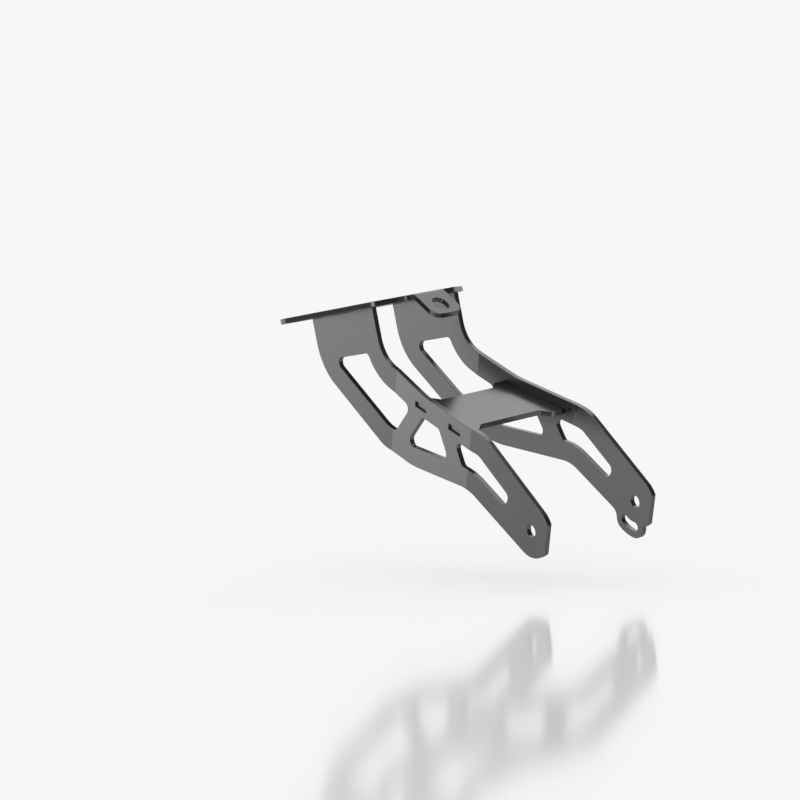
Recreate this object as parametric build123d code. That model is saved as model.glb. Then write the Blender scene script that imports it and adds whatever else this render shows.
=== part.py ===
from build123d import *
import math
import os

# Tail tidy: a welded sheet-metal bracket that carries a number plate behind a motorbike.
# +X is to the right, +Y is forward and +Z is up, in millimetres and degrees.
# The origin lies midway between the two ear holes, on the upper face of the top plate.

# Sheet thickness, folds and the tabs that hold the sheets together
sheet = 3.0
bend_radius = 2.0
tab_length = 11.0
tab_recess = 1.3
tab_clearance = 0.1
weld_gap = 0.1

# Top plate, with two ears that are bolted up under the tail
plate_rear_width = 57.4
plate_rear_radius = 5.5
ear_span = 130.0
ear_radius = 5.0
ear_setback = 41.0
ear_hole_spacing = 100.0
ear_hole = 6.6
plate_front_width = 80.0
plate_front_radius = 8.0
plate_front_reach = 25.0

# Tongue that is bent down from the plate's rear edge
tongue_width = 20.0
tongue_offset = 4.3
tongue_flat = 7.5
tongue_length = 20.3
tongue_angle = 40.0
tongue_bend_radius = 1.0
tongue_corner_radius = 6.4
tongue_root_radius = 1.7
tongue_hole_width = 8.2
tongue_hole_length = 11.2
tongue_hole_distance = 12.3

# Arm outline: the knees hang from the ends of its top edge
arm_top_length = 61.8
front_knee_drop = 28.4
rear_knee_drop = 28.1

# The crest lies back and down from the rear knee, the shoulder from the crest, the pivot from the shoulder
crest_back = 37.0
crest_drop = 24.3
shoulder_back = 50.4
shoulder_drop = 22.95
pivot_back = 24.2
pivot_drop = 49.85

# The belly lies ahead of and below the crest, and the heel ahead of and below the shoulder
belly_ahead = 24.5
belly_drop = 36.1
heel_ahead = 21.8
heel_drop = 26.85

# The foot lies ahead of and above the belly
foot_ahead = 25.9
foot_rise = 11.8

# Rounding of those corners
front_knee_radius = 35.0
foot_radius = 24.0
belly_radius = 67.5
heel_radius = 25.0
boss_radius = 14.0
shoulder_radius = 23.5
crest_radius = 57.5
rear_knee_radius = 20.0

# Windows in the arm, left open between its rails and two braces
stem_width = 13.0
top_rail_width = 12.0
low_rail_width = 11.0
brace_width = 11.0
window_top_drop = 24.4
window_end_distance = 21.7
window_radius = 3.2
foot_window_radius = 22.5
pivot_hole = 6.6

# The front brace passes ahead of and below the crest, and the rear brace ahead of and below the shoulder
front_brace_ahead = 20.6
front_brace_drop = 13.5
front_brace_angle = 31.2
rear_brace_ahead = 32.3
rear_brace_drop = 5.45
rear_brace_angle = -74.2

# Arms across the part: level at the top, they step outwards along their run, between two folds
arm_spread = 60.0
arm_step = 6.8
first_fold_ahead = 28.9
second_fold_ahead = 9.9
arm_end_margin = 11.4

# Lug on the right arm, with an arc slot about the pivot that sets the number plate's angle
lug_half_width = 6.1
lug_start_angle = 221.0
lug_sweep_angle = 32.0
lug_front_radius = 5.5
lug_rear_radius = 1.0
arc_slot_width = 5.0

# Cross plate between the arms, below the top edge of their run and parallel to it
cross_drop = 5.36
cross_ahead = 3.7
cross_length = 36.9
cross_front_width = 35.0
cross_rear_width = 40.2
cross_ear_step = 5.6
cross_ear_radius = 3.0
cross_notch_radius = 2.0
cross_corner_radius = 2.0
front_tab_inset = 0.85
rear_tab_inset = 3.25

# Longer than any piece, for cuts that go right through
beyond = 4 * ear_span

# Arm corners in its side view: x is rearwards and y is up
rear_top = Vector(0, 0)
front_top = Vector(-arm_top_length, 0)
front_knee = front_top - Vector(0, front_knee_drop)
rear_knee = rear_top - Vector(0, rear_knee_drop)
crest = rear_knee + Vector(crest_back, -crest_drop)
shoulder = crest + Vector(shoulder_back, -shoulder_drop)
pivot = shoulder + Vector(pivot_back, -pivot_drop)
belly = crest - Vector(belly_ahead, belly_drop)
heel = shoulder - Vector(heel_ahead, heel_drop)
foot = belly + Vector(-foot_ahead, foot_rise)

# The run goes from the crest to the shoulder, and places along it are counted from the crest
run_direction = (shoulder - crest).normalized()
run_angle = math.degrees(math.atan2(shoulder_drop, shoulder_back))
first_fold = -first_fold_ahead
second_fold = (shoulder - crest).length - second_fold_ahead
cross_front = -cross_ahead
cross_rear = cross_front + cross_length
front_ear = cross_front - cross_ear_step
rear_ear = cross_rear + cross_ear_step
tab_starts = [front_ear + front_tab_inset, rear_ear - rear_tab_inset - tab_length]


def sloping_plane(origin, slope):
    """A plane that slopes down to the rear: its x runs down the slope, and its y is +X."""
    down = Vector(0, -1, 0).rotate(Axis.X, slope)
    normal = Vector(0, 0, 1).rotate(Axis.X, slope)
    return Plane(origin, x_dir=down, z_dir=normal)


arm_corner = (0, -ear_setback, -sheet)
side_plane = Plane(arm_corner, x_dir=(0, -1, 0), z_dir=(-1, 0, 0))
run_plane = sloping_plane(side_plane.from_local_coords(crest), run_angle)
tongue_plane = sloping_plane((tongue_offset, -ear_setback - tongue_flat, 0), tongue_angle)


def inset(start, end, depth):
    """The line from start to end, moved to its left, as a point and a direction."""
    along = (end - start).normalized()
    return start + Vector(-along.Y, along.X) * depth, along


def meet(first, second):
    """The point where two lines cross."""
    start, along = first
    other, across = second
    return start + along * ((other - start).cross(across).Z / along.cross(across).Z)


def touch(point, side):
    """Where a line from a point touches the boss round the pivot, on one side of it."""
    away = point - pivot
    turn = math.degrees(math.acos(boss_radius / away.length))
    return pivot + away.normalized().rotate(Axis.Z, side * turn) * boss_radius


def rounded(*corners):
    """A face with straight sides, from its corners and their radii."""
    points = [point for point, radius in corners]
    radii = [radius for point, radius in corners]
    return make_face(FilletPolyline(points, radius=radii, close=True))


def soften(face, points, radius):
    """Round the corners of a face that lie nearest to some points."""
    corners = [face.vertices().sort_by_distance(point)[0] for point in points]
    return fillet(corners, radius)


boss_low = touch(heel, 1)
boss_top = touch(shoulder, -1)

# Inner edges of the arm's rails, and the sides of its two braces
diagonal_rail = inset(front_knee, foot, stem_width)
foot_rail = inset(foot, belly, stem_width)
low_rail = inset(belly, heel, low_rail_width)
leg_rail = inset(heel, boss_low, low_rail_width)
leg_top_rail = inset(boss_top, shoulder, top_rail_width)
top_rail = inset(shoulder, crest, top_rail_width)
neck_rail = inset(crest, rear_knee, stem_width)
stem_rail = inset(rear_knee, rear_top, stem_width)
front_brace = crest - Vector(front_brace_ahead, front_brace_drop)
front_brace_end = front_brace + Vector(1, 0).rotate(Axis.Z, front_brace_angle)
rear_brace = shoulder - Vector(rear_brace_ahead, rear_brace_drop)
rear_brace_end = rear_brace + Vector(1, 0).rotate(Axis.Z, rear_brace_angle)


def front_window():
    """The tall window in the arm's stem."""
    brace_side = inset(front_brace, front_brace_end, brace_width / 2)
    top_edge = inset(front_top, rear_top, 0)
    face = rounded(
        (meet(stem_rail, top_edge), 0),
        (meet(diagonal_rail, top_edge), 0),
        (meet(diagonal_rail, foot_rail), foot_window_radius),
        (meet(foot_rail, brace_side), window_radius),
        (meet(brace_side, neck_rail), window_radius),
        (meet(neck_rail, stem_rail), rear_knee_radius + stem_width),
    )
    face -= Pos(0, -window_top_drop) * Rectangle(beyond, beyond, align=(Align.CENTER, Align.MIN))
    return fillet(face.vertices().group_by(Axis.Y)[-1], window_radius)


def rear_windows():
    """The two windows in the arm's run, one on each side of the rear brace."""
    brace_side = inset(front_brace, front_brace_end, -brace_width / 2)
    leg = (leg_rail[1] - leg_top_rail[1]).normalized()
    leg_end = (pivot - leg * window_end_distance, Vector(-leg.Y, leg.X))
    face = rounded(
        (meet(low_rail, brace_side), window_radius),
        (meet(low_rail, leg_rail), heel_radius + low_rail_width),
        (meet(leg_rail, leg_end), window_radius),
        (meet(leg_end, leg_top_rail), window_radius),
        (meet(leg_top_rail, top_rail), shoulder_radius - top_rail_width),
        (meet(top_rail, brace_side), window_radius),
    )
    face -= Location(rear_brace, (0, 0, rear_brace_angle)) * Rectangle(beyond, brace_width)
    sides = [inset(rear_brace, rear_brace_end, depth) for depth in (-brace_width / 2, brace_width / 2)]
    corners = [meet(rail, side) for rail in (top_rail, low_rail) for side in sides]
    return soften(face, corners, window_radius)


def top_tab_places():
    """Middles of the two tabs on an arm's top edge."""
    return [Vector(-arm_top_length * share, 0) for share in (0.25, 0.75)]


def arm_face():
    """The arm's side view, with its windows and pivot hole."""
    edge = FilletPolyline(
        [boss_top, shoulder, crest, rear_knee, rear_top, front_top, front_knee, foot, belly, heel, boss_low],
        radius=[shoulder_radius, crest_radius, rear_knee_radius, 0, 0, front_knee_radius, foot_radius,
                belly_radius, heel_radius],
    )
    boss = ThreePointArc(boss_low, pivot + run_direction * boss_radius, boss_top)
    face = make_face(edge + boss)
    for place in top_tab_places():
        face += Pos(place) * Rectangle(tab_length, 2 * (sheet - tab_recess))
    return face - front_window() - rear_windows() - Pos(pivot) * Circle(pivot_hole / 2)


def with_lug(face):
    """Add the slotted lug to an arm's side view."""
    arc = CenterArc(pivot, boss_radius, lug_start_angle, lug_sweep_angle)
    face += SlotArc(arc, 2 * lug_half_width)
    leg = leg_rail[1]
    front_corner = arc @ 0 - leg * lug_half_width
    swing = 2 * math.degrees(math.asin(lug_half_width / (2 * boss_radius)))
    rear_corner = pivot + (arc @ 1 - pivot).rotate(Axis.Z, swing)
    face = soften(face, [front_corner], lug_front_radius)
    face = soften(face, [rear_corner], lug_rear_radius)
    return face - SlotArc(arc, arc_slot_width)


def outer_face(distance):
    """How far the right arm's outer face lies from the middle, in the stepped part of its run."""
    share = (distance - first_fold) / (second_fold - first_fold)
    return arm_spread / 2 + arm_step * share


def inner_face(distance):
    """How far its inner face lies from the middle there."""
    lean = math.atan2(arm_step, second_fold - first_fold)
    return outer_face(distance) - sheet / math.cos(lean)


def folded_strip():
    """The right arm's folded sheet, before its outline is cut."""
    level = (arm_spread - sheet) / 2
    arm_end = (pivot - crest).dot(run_direction) + arm_end_margin
    path = FilletPolyline(
        (-beyond, level), (first_fold, level), (second_fold, level + arm_step), (arm_end, level + arm_step),
        radius=bend_radius + sheet / 2,
    )
    return extrude(run_plane * trace(path, sheet), beyond, both=True)


def cross_slots():
    """Cuts through an arm for the cross plate's tabs."""
    level = run_plane.offset(-cross_drop - sheet / 2)
    cut = Box(tab_length + 2 * tab_clearance, beyond, sheet + 2 * tab_clearance)
    return [level * Pos(start + tab_length / 2, 0) * cut for start in tab_starts]


def arm(face):
    """The right arm, cut from its folded sheet."""
    outline = extrude(side_plane * face, beyond, both=True)
    return (folded_strip() & outline) - cross_slots()


def cross_plate():
    """The plate between the arms, with a tab through each of their slots."""
    front_half = cross_front_width / 2
    rear_half = cross_rear_width / 2
    half = rounded(
        ((cross_front, 0), 0),
        ((cross_front, front_half), cross_notch_radius),
        ((front_ear, front_half + cross_ear_step), cross_ear_radius),
        ((front_ear, inner_face(front_ear) - weld_gap), 0),
        ((rear_ear, inner_face(rear_ear) - weld_gap), cross_corner_radius),
        ((rear_ear, rear_half + cross_ear_step), cross_ear_radius),
        ((cross_rear, rear_half), cross_notch_radius),
        ((cross_rear, 0), 0),
    )
    for start in tab_starts:
        end = start + tab_length
        half += make_face(Polyline(
            (start, inner_face(start) - 2 * weld_gap), (start, outer_face(start) - tab_recess),
            (end, outer_face(end) - tab_recess), (end, inner_face(end) - 2 * weld_gap), close=True,
        ))
    whole = half + mirror(half, about=Plane.XZ)
    return extrude(run_plane.offset(-cross_drop - sheet) * whole, sheet)


def tongue():
    """The bent tongue, with its rounded end and long hole."""
    half_sheet = sheet / 2
    bend_shift = half_sheet * math.tan(math.radians(tongue_angle / 2))
    bend = Vector(tongue_flat - bend_shift, half_sheet)
    down = Vector(1, 0).rotate(Axis.Z, -tongue_angle)
    path = FilletPolyline(
        (0, half_sheet), bend, bend + down * (tongue_length + bend_shift),
        radius=tongue_bend_radius + half_sheet,
    )
    strip = extrude(side_plane * trace(path, sheet), tongue_width / 2, both=True)
    strip = Pos(tongue_offset, 0, 0) * strip
    end_corners = strip.edges().filter_by(Axis((0, 0, 0), tongue_plane.z_dir)).group_by(Axis.Y)[0]
    strip = fillet(end_corners, tongue_corner_radius)
    hole = Pos(tongue_hole_distance, 0) * SlotOverall(tongue_hole_length, tongue_hole_width)
    return strip - extrude(tongue_plane * hole, 2 * sheet, both=True)


def top_plate():
    """The plate with its two ears, the tongue and the slots for the arms' tabs."""
    half = rounded(
        ((0, -ear_setback), 0),
        ((plate_rear_width / 2, -ear_setback), plate_rear_radius),
        ((ear_span / 2, 0), ear_radius),
        ((plate_front_width / 2, plate_front_reach), plate_front_radius),
        ((0, plate_front_reach), 0),
    )
    plan = half + mirror(half, about=Plane.YZ)
    plan -= [Pos(side * ear_hole_spacing / 2, 0) * Circle(ear_hole / 2) for side in (-1, 1)]
    slot = Rectangle(sheet + 2 * tab_clearance, tab_length + 2 * tab_clearance)
    arm_middle = (arm_spread - sheet) / 2
    for place in top_tab_places():
        plan -= [Pos(side * arm_middle, -ear_setback - place.X) * slot for side in (-1, 1)]
    plate = extrude(plan, -sheet) + tongue()
    root_places = [(tongue_offset + side * tongue_width / 2, -ear_setback, 0) for side in (-1, 1)]
    upright = plate.edges().filter_by(Axis.Z)
    roots = [upright.sort_by_distance(place)[0] for place in root_places]
    return fillet(roots, tongue_root_radius)


pieces = {
    "top_plate": top_plate(),
    "left_arm": mirror(arm(arm_face()), about=Plane.YZ),
    "right_arm": arm(with_lug(arm_face())),
    "cross_plate": cross_plate(),
}

os.makedirs("parts", exist_ok=True)
for name, piece in pieces.items():
    export_step(piece, f"parts/{name}.step")
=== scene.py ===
import math

import bmesh
import bpy
from bpy.props import FloatProperty, FloatVectorProperty, PointerProperty
from mathutils import Matrix, Vector


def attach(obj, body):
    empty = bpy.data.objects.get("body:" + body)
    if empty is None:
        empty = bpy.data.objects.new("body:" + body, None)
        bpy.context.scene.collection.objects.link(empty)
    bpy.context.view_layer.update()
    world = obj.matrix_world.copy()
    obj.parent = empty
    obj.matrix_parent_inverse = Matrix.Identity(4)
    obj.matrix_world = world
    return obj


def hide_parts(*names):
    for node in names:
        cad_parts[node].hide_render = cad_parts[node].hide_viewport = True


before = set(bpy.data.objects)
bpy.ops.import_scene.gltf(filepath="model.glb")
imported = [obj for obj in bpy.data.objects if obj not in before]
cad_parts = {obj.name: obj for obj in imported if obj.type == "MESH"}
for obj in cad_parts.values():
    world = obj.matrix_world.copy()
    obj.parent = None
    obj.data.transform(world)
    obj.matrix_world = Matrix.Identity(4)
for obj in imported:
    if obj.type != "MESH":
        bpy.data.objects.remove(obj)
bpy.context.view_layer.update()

bl_info = {
    "name": "Tail Tidy",
    "version": (1, 0, 0),
    "blender": (4, 5, 0),
    "location": "3D View > Sidebar > Tail Tidy",
    "description": "Coats the sheets of a tail tidy and sets them in a pale studio",
    "category": "Object",
}

BODY = "root"
COAT_SLOT = "dark_coat"
MILLIMETRE = 0.001
WHITE = (1, 1, 1, 1)

# Coat: detail and roughness of its noises, where its clouds lie, their shades, and its tint at a low angle
GRAIN_NOISE = {"Detail": 2.0, "Roughness": 0.5}
CLOUD_NOISE = {"Detail": 3.0, "Roughness": 0.55}
CLOUD_REACH = (0.3, 0.7)
CLOUD_SHADES = (0.96, 1.04)
LOW_ANGLE_TINT = (0.8, 0.8, 0.8, 1)

# Sheets: what counts as one point and as one flat face, and how their sharp edges are rounded
SAME_POINT = 0.002 * MILLIMETRE
FLAT_ANGLE = math.radians(0.1)
SHARP_ANGLE = math.radians(35)
EDGE_SEGMENTS = 3
FLAT_WEIGHT = 90

# Floor: half its width, the film over it, the slant from which it mirrors, and how far off it fades
FLOOR_HALF = 30.0
FILM_GAP = 0.1 * MILLIMETRE
MIRROR_SLANT = (0.6, 0.85)
FLOOR_FADE = (0.2, 3)

# A reach says how squarely a direction is faced where a change of light starts, and where it ends
WALL_REACH = (0.35, 0.85)
WALL_FOOT_REACH = (-0.25, -0.135)
WALL_FOOT_ACROSS = (-0.1, 0.12)
WALL_FOOT_LEVELS = (0.5, 0.66)
WALL_HEAD_REACH = (0.1, 0.38)
WALL_HEAD_LEVEL = 0.35
WALL_BRIGHT_ACROSS = (-0.27, -0.1)
WALL_BRIGHT_GAIN = 1.1
DIM_WALL_REACH = (-0.9, 0.1)
OVERHEAD_REACH = (0.3, 0.5)
OVERHEAD_MIDDLE_REACH = (0.93, 0.99)
OVERHEAD_RIM_REACH = (-0.63, -0.54)
OVERHEAD_FOOT_REACH = (0, 0.35)
OVERHEAD_FOOT_LEVEL = 0.3
REAR_LIGHT_REACH = (0.9, 0.96)
GROUND_REACH = (-0.15, -0.5)
TINT_REACH = (-0.2, 0.4)

# Soft fills, each with its middle and reach: over the camera, under it, and to the right of the part
SOFT_FILLS = (
    ((-0.46, -0.56, 0.69), (0.7, 0.95)),
    ((-0.55, -0.62, -0.56), (0.86, 0.95)),
    ((0.98, -0.05, -0.15), (0.85, 0.97)),
)

# A ray that was mirrored once has less than this glossy depth, and one through the film more transparent depth
MIRRORED_ONCE = 1.5
THROUGH_FILM = 0.5

SENSOR_WIDTH = 36


class CoatSettings(bpy.types.PropertyGroup):
    """The coat on every sheet, and how far its cut edges are rounded."""

    colour: FloatVectorProperty(
        name="Colour", description="Colour of the coat", subtype="COLOR",
        default=(0.19, 0.19, 0.192), min=0, max=1,
    )
    metallic: FloatProperty(
        name="Metallic", description="Share of the coat that mirrors as metal does",
        subtype="FACTOR", default=0.95, min=0, max=1,
    )
    roughness: FloatProperty(
        name="Roughness", description="Mean roughness of the coat",
        subtype="FACTOR", default=0.2, min=0, max=1,
    )
    roughness_spread: FloatProperty(
        name="Roughness Spread", description="How far the roughness strays from its mean",
        subtype="FACTOR", default=0.02, min=0, max=0.2,
    )
    grain_size: FloatProperty(
        name="Grain Size", description="Width of the fine waves in the sprayed coat",
        unit="LENGTH", default=1.1 * MILLIMETRE, min=0.1 * MILLIMETRE,
    )
    grain_height: FloatProperty(
        name="Grain Height", description="Height of those waves",
        unit="LENGTH", default=0.002 * MILLIMETRE, min=0,
    )
    cloud_size: FloatProperty(
        name="Cloud Size", description="Width of the patches where the coat is thicker or thinner",
        unit="LENGTH", default=18 * MILLIMETRE, min=1 * MILLIMETRE,
    )
    edge_radius: FloatProperty(
        name="Edge Radius", description="Rounding of the cut edges under the coat",
        unit="LENGTH", default=0.25 * MILLIMETRE, min=0.01 * MILLIMETRE,
    )


class StudioSettings(bpy.types.PropertyGroup):
    """The camera, the floor and the light of the studio."""

    target: FloatVectorProperty(
        name="Target", description="Point that the camera looks at", subtype="TRANSLATION",
        default=(-0.00865, -0.02014, -0.05707),
    )
    distance: FloatProperty(
        name="Distance", description="From the camera to its target", unit="LENGTH", default=1.05, min=0.1,
    )
    azimuth: FloatProperty(
        name="Azimuth", description="Turn of the camera about the upright, from straight behind",
        subtype="ANGLE", default=math.radians(-34.51),
    )
    elevation: FloatProperty(
        name="Elevation", description="Height of the camera over its target",
        subtype="ANGLE", default=math.radians(2.51),
    )
    roll: FloatProperty(
        name="Roll", description="Turn of the camera about its own line of sight",
        subtype="ANGLE", default=math.radians(10.78),
    )
    lens: FloatProperty(
        name="Lens", description="Focal length in millimetres", unit="CAMERA", default=83.77, min=1,
    )
    floor_drop: FloatProperty(
        name="Floor Drop", description="From the part's origin to the floor, at right angles to it",
        unit="LENGTH", default=0.1529, min=0,
    )
    floor_tilt: FloatVectorProperty(
        name="Floor Tilt", description="Direction that points straight up from the floor", subtype="DIRECTION",
        default=(0.1755, -0.0540, 0.9830),
    )
    floor_colour: FloatVectorProperty(
        name="Floor Colour", description="Colour of the floor", subtype="COLOR",
        default=(0.9, 0.9, 0.93), min=0, max=1,
    )
    floor_roughness: FloatProperty(
        name="Floor Roughness", description="How far the floor blurs what it mirrors",
        subtype="FACTOR", default=0.1, min=0, max=1,
    )
    floor_gloss: FloatProperty(
        name="Floor Gloss", description="Share of the floor that mirrors when seen at a low angle",
        subtype="FACTOR", default=0.5, min=0, max=1,
    )
    floor_glow: FloatProperty(
        name="Floor Glow", description="White that the camera sees added to the floor",
        default=0.23, min=0, max=1,
    )
    backdrop_level: FloatProperty(
        name="Backdrop Level", description="Brightness of the backdrop that the camera sees",
        default=0.93, min=0, max=1,
    )
    front_wall: FloatVectorProperty(
        name="Front Wall", description="Direction of the middle of the white wall", subtype="DIRECTION",
        default=(-0.656, 0.755, 0.0),
    )
    front_level: FloatProperty(
        name="Front Level", description="Brightness of the white wall", default=1.15, min=0,
    )
    side_level: FloatProperty(
        name="Side Level", description="Brightness of the walls beside it", default=0.14, min=0, max=1,
    )
    rear_level: FloatProperty(
        name="Rear Level", description="Brightness of the wall across from it", default=0.06, min=0, max=1,
    )
    overhead: FloatVectorProperty(
        name="Overhead", description="Direction of the middle of the light from above", subtype="DIRECTION",
        default=(0.604, 0.48, 0.637),
    )
    overhead_rim: FloatVectorProperty(
        name="Overhead Rim", description="Direction across the rear rim of that light, towards its middle",
        subtype="DIRECTION", default=(-0.848, 0.53, 0.0),
    )
    overhead_level: FloatProperty(
        name="Overhead Level", description="Brightness of the light from above", default=1.1, min=0,
    )
    overhead_middle: FloatProperty(
        name="Overhead Middle", description="Brightness of the middle of that light", default=1.38, min=0,
    )
    rear_light: FloatVectorProperty(
        name="Rear Light", description="Direction of the middle of the light behind the part", subtype="DIRECTION",
        default=(-0.26, -0.97, 0.12),
    )
    rear_light_level: FloatProperty(
        name="Rear Light Level", description="Brightness of that light", default=1.5, min=0,
    )
    fill_level: FloatProperty(
        name="Fill Level", description="Brightness of the soft lights behind and beside the camera",
        default=0.9, min=0,
    )
    ground_level: FloatProperty(
        name="Ground Level", description="Brightness of the ground straight below", default=0.49, min=0, max=1,
    )
    low_tint: FloatVectorProperty(
        name="Low Tint", description="Colour of the light from below", subtype="COLOR",
        default=(0.985, 0.975, 1.0), min=0, max=1,
    )
    high_tint: FloatVectorProperty(
        name="High Tint", description="Colour of the light from above", subtype="COLOR",
        default=(1.0, 1.0, 0.97), min=0, max=1,
    )


def link_or_set(tree, socket, value):
    """Link a socket to another, or set its value."""
    if isinstance(value, bpy.types.NodeSocket):
        tree.links.new(value, socket)
    else:
        socket.default_value = value


def add_node(tree, kind, **inputs):
    """Add a node to a tree and set its inputs, or link them where a socket is given."""
    node = tree.nodes.new(kind)
    for name, value in inputs.items():
        link_or_set(tree, node.inputs[name.replace("_", " ")], value)
    return node


def blend(tree, share, first, second):
    """Two colours blended by the share of the second."""
    node = tree.nodes.new("ShaderNodeMix")
    node.data_type = "RGBA"
    tree.links.new(share, node.inputs["Factor"])
    for socket, colour in zip([each for each in node.inputs if each.type == "RGBA"], (first, second)):
        socket.default_value = (*colour, 1)
    return next(each for each in node.outputs if each.type == "RGBA")


def mixed(tree, share, first, second):
    """Two shaders mixed by the share of the second."""
    node = tree.nodes.new("ShaderNodeMixShader")
    tree.links.new(share, node.inputs["Fac"])
    tree.links.new(first, node.inputs[1])
    tree.links.new(second, node.inputs[2])
    return node.outputs["Shader"]


def facing(tree, middle):
    """How squarely a direction is faced: 1 when straight towards it and -1 when straight away."""
    direction = tree.nodes.new("ShaderNodeTexCoord").outputs["Generated"]
    dot = tree.nodes.new("ShaderNodeVectorMath")
    dot.operation = "DOT_PRODUCT"
    tree.links.new(direction, dot.inputs[0])
    dot.inputs[1].default_value = Vector(middle).normalized()
    return dot.outputs["Value"]


def fade(tree, value, reach, levels):
    """Go smoothly from one level to another as a value goes through its reach."""
    node = add_node(
        tree, "ShaderNodeMapRange",
        Value=value, From_Min=reach[0], From_Max=reach[1], To_Min=levels[0], To_Max=levels[1],
    )
    node.interpolation_type = "SMOOTHSTEP"
    return node.outputs["Result"]


def combine(tree, operation, *values):
    """Join values in pairs with one kind of sum."""
    total = values[0]
    for value in values[1:]:
        node = tree.nodes.new("ShaderNodeMath")
        node.operation = operation
        link_or_set(tree, node.inputs[0], total)
        link_or_set(tree, node.inputs[1], value)
        total = node.outputs["Value"]
    return total


def dark_coat(coat):
    """The semi-gloss dark-grey coat, with the fine waves and faint clouds of a sprayed finish."""
    material = bpy.data.materials.get(COAT_SLOT + "_finish")
    if material:
        return material
    material = bpy.data.materials.new(COAT_SLOT + "_finish")
    material.use_nodes = True
    tree = material.node_tree
    shader = tree.nodes["Principled BSDF"]
    place = tree.nodes.new("ShaderNodeTexCoord").outputs["Object"]
    grain = add_node(tree, "ShaderNodeTexNoise", Vector=place, Scale=1 / coat.grain_size, **GRAIN_NOISE)
    clouds = add_node(tree, "ShaderNodeTexNoise", Vector=place, Scale=1 / coat.cloud_size, **CLOUD_NOISE)
    sheen = add_node(
        tree, "ShaderNodeMapRange",
        Value=clouds.outputs["Fac"], From_Min=CLOUD_REACH[0], From_Max=CLOUD_REACH[1],
        To_Min=coat.roughness - coat.roughness_spread, To_Max=coat.roughness + coat.roughness_spread,
    )
    thin, thick = ([shade * value for value in coat.colour] for shade in CLOUD_SHADES)
    waves = add_node(
        tree, "ShaderNodeBump", Height=grain.outputs["Fac"], Distance=coat.grain_height, Strength=1.0,
    )
    tree.links.new(blend(tree, clouds.outputs["Fac"], thin, thick), shader.inputs["Base Color"])
    tree.links.new(sheen.outputs["Result"], shader.inputs["Roughness"])
    tree.links.new(waves.outputs["Normal"], shader.inputs["Normal"])
    shader.inputs["Metallic"].default_value = coat.metallic
    shader.inputs["Specular Tint"].default_value = LOW_ANGLE_TINT
    return material


def coated_sheet(node, coat):
    """A copy of a sheet with its flat faces made whole, its cut edges rounded and its coat on."""
    mesh = bpy.data.meshes.new(node + "_coated")
    shape = bmesh.new()
    shape.from_mesh(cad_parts[node].data)
    bmesh.ops.remove_doubles(shape, verts=shape.verts, dist=SAME_POINT)
    bmesh.ops.dissolve_limit(shape, angle_limit=FLAT_ANGLE, verts=shape.verts, edges=shape.edges)
    for face in shape.faces:
        face.smooth = True
    shape.to_mesh(mesh)
    shape.free()
    mesh.materials.append(dark_coat(coat))
    sheet = bpy.data.objects.new(node + "_coated", mesh)
    bpy.context.scene.collection.objects.link(sheet)
    rounding = sheet.modifiers.new("Rounded edges", "BEVEL")
    rounding.width = coat.edge_radius
    rounding.segments = EDGE_SEGMENTS
    rounding.limit_method = "ANGLE"
    rounding.angle_limit = SHARP_ANGLE
    rounding.use_clamp_overlap = False
    flats = sheet.modifiers.new("Flat faces", "WEIGHTED_NORMAL")
    flats.weight = FLAT_WEIGHT
    flats.keep_sharp = True
    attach(sheet, BODY)
    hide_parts(node)


class TAILTIDY_OT_top_plate(bpy.types.Operator):
    """Coat the flat top plate with its ears and bent tongue"""

    bl_idname = "tail_tidy.top_plate"
    bl_label = "Top Plate"

    def execute(self, context):
        coated_sheet("top_plate", context.scene.tail_tidy_coat)
        return {"FINISHED"}


class TAILTIDY_OT_arms(bpy.types.Operator):
    """Coat the two stepped arms with their windows"""

    bl_idname = "tail_tidy.arms"
    bl_label = "Arms"

    def execute(self, context):
        for side in ("left", "right"):
            coated_sheet(side + "_arm", context.scene.tail_tidy_coat)
        return {"FINISHED"}


class TAILTIDY_OT_cross_plate(bpy.types.Operator):
    """Coat the tabbed plate between the arms"""

    bl_idname = "tail_tidy.cross_plate"
    bl_label = "Cross Plate"

    def execute(self, context):
        coated_sheet("cross_plate", context.scene.tail_tidy_coat)
        return {"FINISHED"}


def level_sheet(name, studio, drop, material):
    """A wide flat sheet level with the floor, some way under the part, that no glossy face mirrors."""
    turn = Vector(studio.floor_tilt).normalized().to_track_quat("Z", "Y").to_matrix()
    signs = ((-1, -1), (1, -1), (1, 1), (-1, 1))
    corners = [Vector((x * FLOOR_HALF, y * FLOOR_HALF, -drop)) for x, y in signs]
    mesh = bpy.data.meshes.new(name)
    mesh.from_pydata([turn @ corner for corner in corners], [], [(0, 1, 2, 3)])
    mesh.materials.append(material)
    sheet = bpy.data.objects.new(name, mesh)
    bpy.context.scene.collection.objects.link(sheet)
    sheet.visible_glossy = False
    return sheet


def studio_finish(name):
    """A new material with only its output."""
    material = bpy.data.materials.new(name)
    material.use_nodes = True
    material.node_tree.nodes.clear()
    return material, material.node_tree, material.node_tree.nodes.new("ShaderNodeOutputMaterial")


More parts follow.
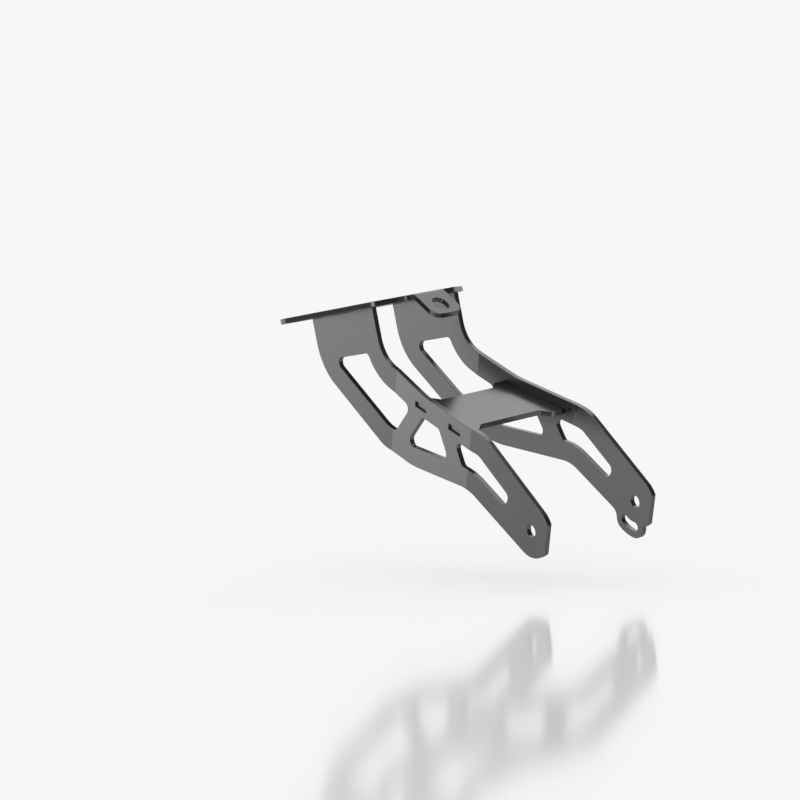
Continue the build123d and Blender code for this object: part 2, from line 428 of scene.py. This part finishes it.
def studio_floor(studio):
    """The wide pale floor under the part, which blurs what it mirrors and fades into the backdrop."""
    material, tree, output = studio_finish("studio_floor_finish")
    seen = tree.nodes.new("ShaderNodeLightPath").outputs["Is Camera Ray"]
    matt = add_node(tree, "ShaderNodeBsdfDiffuse", Color=(*studio.floor_colour, 1))
    glow_level = combine(tree, "MULTIPLY", seen, studio.floor_glow)
    glow = add_node(tree, "ShaderNodeEmission", Color=WHITE, Strength=glow_level)
    lit = tree.nodes.new("ShaderNodeAddShader")
    tree.links.new(matt.outputs["BSDF"], lit.inputs[0])
    tree.links.new(glow.outputs["Emission"], lit.inputs[1])
    mirror = add_node(tree, "ShaderNodeBsdfAnisotropic", Color=WHITE, Roughness=studio.floor_roughness)
    slant = tree.nodes.new("ShaderNodeLayerWeight").outputs["Facing"]
    gloss = fade(tree, slant, MIRROR_SLANT, (0, studio.floor_gloss))
    polished = mixed(tree, gloss, lit.outputs["Shader"], mirror.outputs["BSDF"])
    distance = tree.nodes.new("ShaderNodeVectorMath")
    distance.operation = "LENGTH"
    tree.links.new(tree.nodes.new("ShaderNodeTexCoord").outputs["Object"], distance.inputs[0])
    far = fade(tree, distance.outputs["Value"], FLOOR_FADE, (0, 1))
    backdrop = add_node(tree, "ShaderNodeEmission", Color=WHITE, Strength=studio.backdrop_level)
    surface = mixed(tree, combine(tree, "MULTIPLY", seen, far), polished, backdrop.outputs["Emission"])
    tree.links.new(surface, output.inputs["Surface"])
    level_sheet("studio_floor", studio, studio.floor_drop, material)


def floor_film(studio):
    """A clear film on the floor, through which the floor mirrors the backdrop from any side."""
    material, tree, output = studio_finish("floor_film_finish")
    clear = tree.nodes.new("ShaderNodeBsdfTransparent")
    tree.links.new(clear.outputs["BSDF"], output.inputs["Surface"])
    film = level_sheet("floor_film", studio, studio.floor_drop - FILM_GAP, material)
    film.visible_diffuse = film.visible_transmission = film.visible_shadow = False


def studio_walls(studio):
    """A white wall ahead, lights above and behind, soft fills, dim walls, and a white backdrop."""
    world = bpy.data.worlds.new("studio_walls")
    bpy.context.scene.world = world
    world.use_nodes = True
    tree = world.node_tree
    tree.nodes.clear()
    ahead = facing(tree, studio.front_wall)
    upward = facing(tree, studio.floor_tilt)
    above = facing(tree, studio.overhead)
    across = facing(tree, Vector(studio.front_wall).cross((0, 0, -1)))
    bright_levels = (WALL_BRIGHT_GAIN * studio.front_level, studio.front_level)
    bright = fade(tree, across, WALL_BRIGHT_ACROSS, bright_levels)
    low = fade(tree, across, WALL_FOOT_ACROSS, WALL_FOOT_LEVELS)
    light = combine(
        tree, "MAXIMUM",
        combine(
            tree, "MULTIPLY",
            fade(tree, ahead, WALL_REACH, (0, bright)),
            fade(tree, upward, WALL_FOOT_REACH, (low, 1)),
            fade(tree, upward, WALL_HEAD_REACH, (1, WALL_HEAD_LEVEL)),
        ),
        fade(tree, ahead, DIM_WALL_REACH, (studio.rear_level, studio.side_level)),
        combine(
            tree, "MULTIPLY",
            fade(tree, above, OVERHEAD_REACH, (0, 1)),
            fade(tree, above, OVERHEAD_MIDDLE_REACH, (studio.overhead_level, studio.overhead_middle)),
            fade(tree, facing(tree, studio.overhead_rim), OVERHEAD_RIM_REACH, (0, 1)),
            fade(tree, upward, OVERHEAD_FOOT_REACH, (OVERHEAD_FOOT_LEVEL, 1)),
        ),
        fade(tree, facing(tree, studio.rear_light), REAR_LIGHT_REACH, (0, studio.rear_light_level)),
        *(fade(tree, facing(tree, middle), reach, (0, studio.fill_level)) for middle, reach in SOFT_FILLS),
        fade(tree, upward, GROUND_REACH, (0, studio.ground_level)),
    )
    rays = tree.nodes.new("ShaderNodeLightPath").outputs
    mirrored = combine(
        tree, "MULTIPLY",
        rays["Is Glossy Ray"],
        combine(tree, "LESS_THAN", rays["Glossy Depth"], MIRRORED_ONCE),
        combine(tree, "GREATER_THAN", rays["Transparent Depth"], THROUGH_FILM),
    )
    seen = combine(tree, "MAXIMUM", rays["Is Camera Ray"], mirrored)
    tint = blend(tree, fade(tree, upward, TINT_REACH, (0, 1)), studio.low_tint, studio.high_tint)
    walls = add_node(tree, "ShaderNodeBackground", Color=tint, Strength=light)
    backdrop = add_node(tree, "ShaderNodeBackground", Color=WHITE, Strength=studio.backdrop_level)
    output = tree.nodes.new("ShaderNodeOutputWorld")
    surface = mixed(tree, seen, walls.outputs["Background"], backdrop.outputs["Background"])
    tree.links.new(surface, output.inputs["Surface"])


def studio_camera(studio):
    """The camera behind and to the left of the part, a little over the middle of it."""
    back = Vector((
        math.sin(studio.azimuth) * math.cos(studio.elevation),
        -math.cos(studio.azimuth) * math.cos(studio.elevation),
        math.sin(studio.elevation),
    ))
    level_right = Vector((math.cos(studio.azimuth), math.sin(studio.azimuth), 0))
    right = Matrix.Rotation(-studio.roll, 3, back) @ level_right
    up = back.cross(right)
    data = bpy.data.cameras.new("studio_camera")
    data.sensor_width = SENSOR_WIDTH
    data.lens = studio.lens
    camera = bpy.data.objects.new("studio_camera", data)
    bpy.context.scene.collection.objects.link(camera)
    turn = Matrix((right, up, back)).transposed().to_4x4()
    camera.matrix_world = Matrix.Translation(Vector(studio.target) + back * studio.distance) @ turn
    bpy.context.scene.camera = camera


class TAILTIDY_OT_studio(bpy.types.Operator):
    """Set the floor, the light and the camera"""

    bl_idname = "tail_tidy.studio"
    bl_label = "Studio"

    def execute(self, context):
        studio = context.scene.tail_tidy_studio
        context.scene.view_settings.view_transform = "Standard"
        studio_floor(studio)
        floor_film(studio)
        studio_walls(studio)
        studio_camera(studio)
        return {"FINISHED"}


OPERATORS = (TAILTIDY_OT_top_plate, TAILTIDY_OT_arms, TAILTIDY_OT_cross_plate, TAILTIDY_OT_studio)


class TAILTIDY_PT_panel(bpy.types.Panel):
    """Lists the steps that dress the part"""

    bl_idname = "TAILTIDY_PT_panel"
    bl_label = "Tail Tidy"
    bl_space_type = "VIEW_3D"
    bl_region_type = "UI"
    bl_category = "Tail Tidy"

    def draw(self, context):
        for settings in (context.scene.tail_tidy_coat, context.scene.tail_tidy_studio):
            for name in settings.bl_rna.properties.keys():
                if name not in ("rna_type", "name"):
                    self.layout.prop(settings, name)
        for operator in OPERATORS:
            self.layout.operator(operator.bl_idname)


CLASSES = (CoatSettings, StudioSettings, *OPERATORS, TAILTIDY_PT_panel)


def register():
    for each in CLASSES:
        bpy.utils.register_class(each)
    bpy.types.Scene.tail_tidy_coat = PointerProperty(type=CoatSettings)
    bpy.types.Scene.tail_tidy_studio = PointerProperty(type=StudioSettings)


def unregister():
    del bpy.types.Scene.tail_tidy_studio
    del bpy.types.Scene.tail_tidy_coat
    for each in reversed(CLASSES):
        bpy.utils.unregister_class(each)


def main():
    register()
    bpy.ops.tail_tidy.top_plate()
    bpy.ops.tail_tidy.arms()
    bpy.ops.tail_tidy.cross_plate()
    bpy.ops.tail_tidy.studio()


if __name__ == "__main__":
    main()
